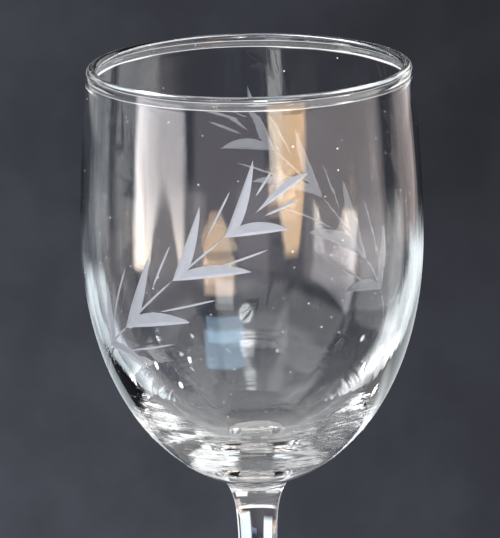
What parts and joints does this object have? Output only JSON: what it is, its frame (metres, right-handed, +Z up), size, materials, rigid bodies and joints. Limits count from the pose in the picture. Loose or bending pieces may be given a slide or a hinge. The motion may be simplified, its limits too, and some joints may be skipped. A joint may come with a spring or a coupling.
{
  "type": "wine glass",
  "caption": "Stemmed clear wine glass with a deep rounded bowl, beaded rim, cut leaf sprays, a slim flared stem and a round foot.",
  "frame": {"origin": "centre of the foot's underside, on the surface that the glass stands on", "axes": "+Z up along the glass's turning axis; the first cut spray rises round the -Y side towards +X"},
  "size_m": [0.069, 0.069, 0.155],
  "materials": {
    "bowl_glass": "clear polished soda-lime glass, with frosted wheel cuts in the outer wall",
    "stem_glass": "clear fire-polished soda-lime glass",
    "foot_glass": "clear fire-polished soda-lime glass"
  },
  "bodies": {
    "root": {"bowl": "bowl_glass", "stem": "stem_glass", "foot": "foot_glass"}
  },
  "joints": []
}
